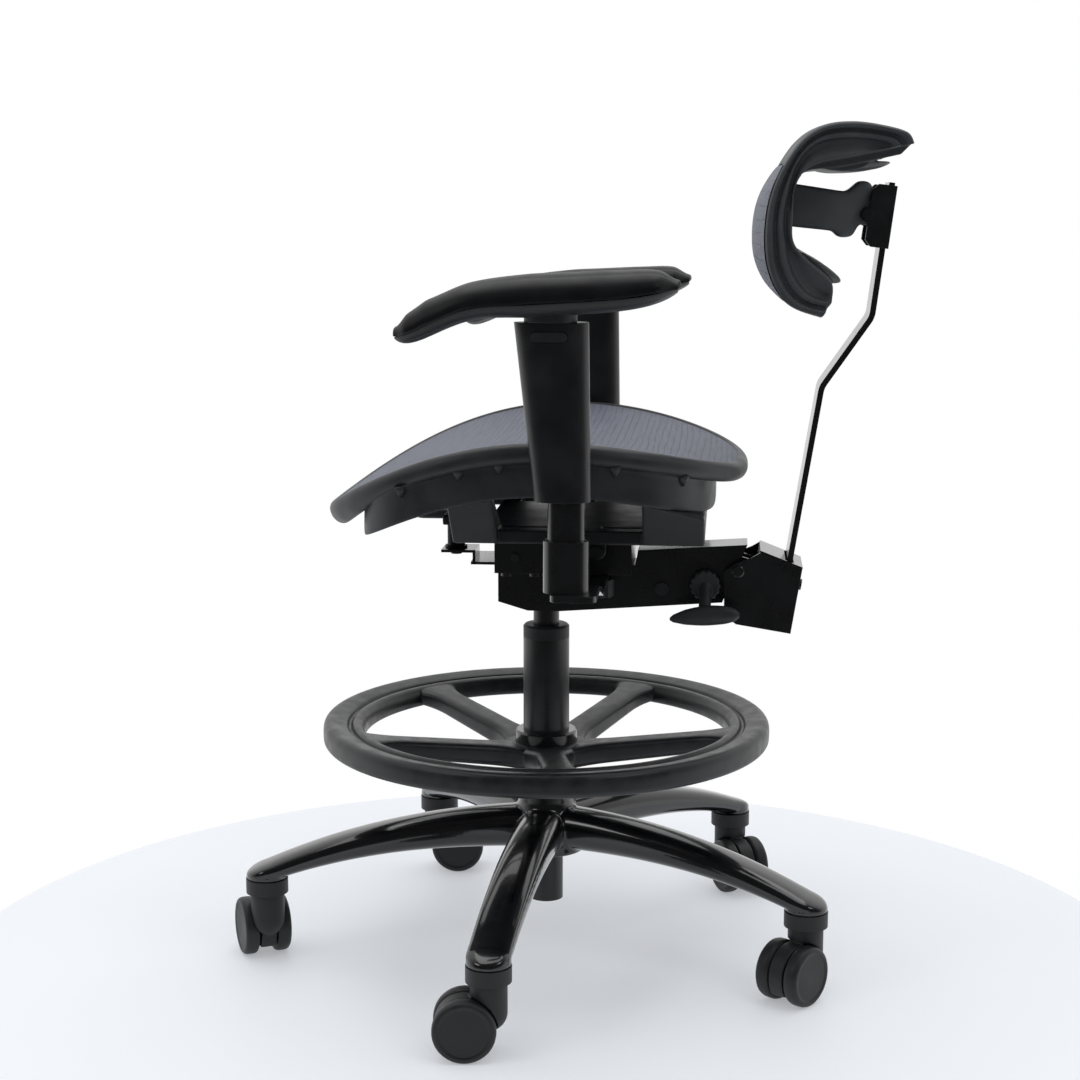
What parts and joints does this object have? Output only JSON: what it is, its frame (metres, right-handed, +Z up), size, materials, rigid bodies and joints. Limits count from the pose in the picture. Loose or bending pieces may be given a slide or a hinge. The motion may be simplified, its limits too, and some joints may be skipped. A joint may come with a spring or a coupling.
{
  "type": "studio chair",
  "caption": "High studio chair with a mesh saddle seat, small mesh back pad on a bent flat bar, adjustable padded arms, foot ring and a star base on twin-wheel casters.",
  "frame": {"origin": "on the floor, under the axis of the lift column", "axes": "+Z up, -Y the way the sitter faces, +X towards the sitter's left"},
  "size_m": [0.6449, 0.7152, 0.8958],
  "materials": {
    "gloss_black_metal": "gloss black enamel",
    "satin_black_metal": "satin black powder coat",
    "black_plastic": "fine textured black",
    "wheel_plastic": "matte black",
    "foot_ring_skin": "matte moulded black",
    "arm_pad_skin": "soft satin black skin",
    "mesh_fabric": "woven violet-grey mesh",
    "bright_steel": "ground steel"
  },
  "bodies": {
    "base": {"base_star": "gloss_black_metal", "caster_sockets": "black_plastic", "caster_stems": "bright_steel", "lift_column": "satin_black_metal", "lift_bush": "black_plastic", "lift_thrust_bearing": "bright_steel"},
    "foot_rest": {"foot_ring": "foot_ring_skin", "foot_ring_collar": "gloss_black_metal"},
    "lift_shaft": {"lift_rod": "bright_steel"},
    "mechanism": {"lift_cylinder": "satin_black_metal", "lift_gland": "bright_steel", "cone_socket": "satin_black_metal", "main_housing": "satin_black_metal", "mechanism_bolts": "satin_black_metal", "seat_tray": "satin_black_metal", "front_bumper": "arm_pad_skin", "seat_pivot_pin": "satin_black_metal"},
    "valve_pin": {"lift_release_pin": "bright_steel"},
    "lever": {"height_lever": "satin_black_metal", "lever_paddle": "black_plastic"},
    "seat": {"seat_carrier": "black_plastic", "seat_frame": "black_plastic", "seat_mesh": "mesh_fabric"},
    "back_carrier": {"back_bracket": "satin_black_metal", "bar_guide": "black_plastic", "bar_screw": "satin_black_metal"},
    "back_lock": {"wing_knob": "black_plastic", "clamp_screw": "satin_black_metal"},
    "upright": {"back_bar": "satin_black_metal"},
    "slider": {"back_slider": "black_plastic", "back_arm_pin": "satin_black_metal"},
    "back_pad": {"back_arm": "black_plastic", "back_frame": "black_plastic", "back_mesh": "mesh_fabric"},
    "caster_1": {"caster_fork_1": "black_plastic"},
    "wheels_1": {"caster_wheels_1": "wheel_plastic"},
    "caster_2": {"caster_fork_2": "black_plastic"},
    "wheels_2": {"caster_wheels_2": "wheel_plastic"},
    "caster_3": {"caster_fork_3": "black_plastic"},
    "wheels_3": {"caster_wheels_3": "wheel_plastic"},
    "caster_4": {"caster_fork_4": "black_plastic"},
    "wheels_4": {"caster_wheels_4": "wheel_plastic"},
    "caster_5": {"caster_fork_5": "black_plastic"},
    "wheels_5": {"caster_wheels_5": "wheel_plastic"},
    "arm_left": {"arm_bracket_left": "satin_black_metal", "arm_socket_left": "black_plastic", "arm_post_left": "satin_black_metal"},
    "arm_knob_left": {"arm_knob_left": "black_plastic"},
    "arm_sleeve_left": {"arm_sleeve_left": "black_plastic"},
    "arm_button_left": {"arm_button_left": "black_plastic"},
    "arm_rest_left": {"arm_pad_base_left": "black_plastic", "arm_pad_left": "arm_pad_skin"},
    "arm_right": {"arm_bracket_right": "satin_black_metal", "arm_socket_right": "black_plastic", "arm_post_right": "satin_black_metal"},
    "arm_knob_right": {"arm_knob_right": "black_plastic"},
    "arm_sleeve_right": {"arm_sleeve_right": "black_plastic"},
    "arm_button_right": {"arm_button_right": "black_plastic"},
    "arm_rest_right": {"arm_pad_base_right": "black_plastic", "arm_pad_right": "arm_pad_skin"}
  },
  "joints": [
    {"name": "foot_ring_height", "type": "slide", "parent": "base", "child": "foot_rest", "axis": [0, 0, 1], "range_m": [-0.025, 0.07]},
    {"name": "seat_swivel", "type": "hinge", "parent": "base", "child": "lift_shaft", "pos_m": [0, 0, 0], "axis": [0, 0, 1], "continuous": true},
    {"name": "seat_height", "type": "slide", "parent": "lift_shaft", "child": "mechanism", "axis": [0, 0, 1], "range_m": [0, 0.2]},
    {"name": "valve_press", "type": "slide", "parent": "mechanism", "child": "valve_pin", "axis": [0, 0, -1], "range_m": [0, 0.005]},
    {"name": "lever_lift", "type": "hinge", "parent": "mechanism", "child": "lever", "pos_m": [0, -0.025, 0.453], "axis": [-1, 0, 0], "range_deg": [0, 8], "stiffness_Nm_per_rad": 0.6, "springref_deg": -11.46},
    {"name": "seat_tilt", "type": "hinge", "parent": "mechanism", "child": "seat", "pos_m": [0, 0.06, 0.462], "axis": [-1, 0, 0], "range_deg": [0, 4]},
    {"name": "back_angle", "type": "hinge", "parent": "mechanism", "child": "back_carrier", "pos_m": [0, 0.2065, 0.4335], "axis": [-1, 0, 0], "range_deg": [-6, 8]},
    {"name": "back_lock_turn", "type": "hinge", "parent": "mechanism", "child": "back_lock", "pos_m": [0, 0.172, 0.417], "axis": [1, 0, 0], "range_deg": [-60, 60]},
    {"name": "back_height", "type": "slide", "parent": "back_carrier", "child": "upright", "axis": [0, 0.1576, 0.9875], "range_m": [-0.03, 0.03]},
    {"name": "back_pad_height", "type": "slide", "parent": "upright", "child": "slider", "axis": [0, 0.1231, 0.9924], "range_m": [-0.015, 0.005]},
    {"name": "back_pad_tilt", "type": "hinge", "parent": "slider", "child": "back_pad", "pos_m": [0, 0.33284, 0.8057], "axis": [-1, 0, 0], "range_deg": [-8, 8]},
    {"name": "caster_swivel_1", "type": "hinge", "parent": "base", "child": "caster_1", "pos_m": [0.30561, -0.02916, 0.084], "axis": [0, 0, 1], "continuous": true},
    {"name": "wheel_roll_1", "type": "hinge", "parent": "caster_1", "child": "wheels_1", "pos_m": [0.30766, -0.05257, 0.0315], "axis": [0.9962, 0.0872, 0], "continuous": true},
    {"name": "caster_swivel_2", "type": "hinge", "parent": "base", "child": "caster_2", "pos_m": [0.12217, 0.28164, 0.084], "axis": [0, 0, 1], "continuous": true},
    {"name": "wheel_roll_2", "type": "hinge", "parent": "caster_2", "child": "wheels_2", "pos_m": [0.14094, 0.2675, 0.0315], "axis": [0.6018, 0.7986, 0], "continuous": true},
    {"name": "caster_swivel_3", "type": "hinge", "parent": "base", "child": "caster_3", "pos_m": [-0.23011, 0.20322, 0.084], "axis": [0, 0, 1], "continuous": true},
    {"name": "wheel_roll_3", "type": "hinge", "parent": "caster_3", "child": "wheels_3", "pos_m": [-0.20917, 0.21389, 0.0315], "axis": [-0.454, 0.891, 0], "continuous": true},
    {"name": "caster_swivel_4", "type": "hinge", "parent": "base", "child": "caster_4", "pos_m": [-0.26438, -0.15604, 0.084], "axis": [0, 0, 1], "continuous": true},
    {"name": "wheel_roll_4", "type": "hinge", "parent": "caster_4", "child": "wheels_4", "pos_m": [-0.26561, -0.13258, 0.0315], "axis": [-0.9986, -0.0523, 0], "continuous": true},
    {"name": "caster_swivel_5", "type": "hinge", "parent": "base", "child": "caster_5", "pos_m": [0.06671, -0.29967, 0.084], "axis": [0, 0, 1], "continuous": true},
    {"name": "wheel_roll_5", "type": "hinge", "parent": "caster_5", "child": "wheels_5", "pos_m": [0.04559, -0.30997, 0.0315], "axis": [0.4384, -0.8988, 0], "continuous": true},
    {"name": "arm_width_left", "type": "slide", "parent": "mechanism", "child": "arm_left", "axis": [1, 0, 0], "range_m": [-0.02, 0.02]},
    {"name": "arm_knob_turn_left", "type": "hinge", "parent": "mechanism", "child": "arm_knob_left", "pos_m": [0.07, 0.058, 0.42], "axis": [0, 0, 1], "continuous": true},
    {"name": "arm_height_left", "type": "slide", "parent": "arm_left", "child": "arm_sleeve_left", "axis": [0, 0, 1], "range_m": [-0.035, 0.06]},
    {"name": "arm_release_left", "type": "slide", "parent": "arm_sleeve_left", "child": "arm_button_left", "axis": [-1, 0, 0], "range_m": [0, 0.003], "stiffness_N_per_m": 300, "springref_m": -0.002},
    {"name": "arm_pad_swivel_left", "type": "hinge", "parent": "arm_sleeve_left", "child": "arm_rest_left", "pos_m": [0.265, 0.027, 0.712], "axis": [0, 0, 1], "range_deg": [-15, 15]},
    {"name": "arm_width_right", "type": "slide", "parent": "mechanism", "child": "arm_right", "axis": [-1, 0, 0], "range_m": [-0.02, 0.02]},
    {"name": "arm_knob_turn_right", "type": "hinge", "parent": "mechanism", "child": "arm_knob_right", "pos_m": [-0.07, 0.058, 0.42], "axis": [0, 0, 1], "continuous": true},
    {"name": "arm_height_right", "type": "slide", "parent": "arm_right", "child": "arm_sleeve_right", "axis": [0, 0, 1], "range_m": [-0.021, 0.074]},
    {"name": "arm_release_right", "type": "slide", "parent": "arm_sleeve_right", "child": "arm_button_right", "axis": [1, 0, 0], "range_m": [0, 0.003], "stiffness_N_per_m": 300, "springref_m": -0.002},
    {"name": "arm_pad_swivel_right", "type": "hinge", "parent": "arm_sleeve_right", "child": "arm_rest_right", "pos_m": [-0.265, 0.027, 0.698], "axis": [0, 0, 1], "range_deg": [-15, 15]}
  ],
  "couplings": [
    {"joint": "valve_press", "follows": "lever_lift", "m_per_rad": 0.031}
  ]
}
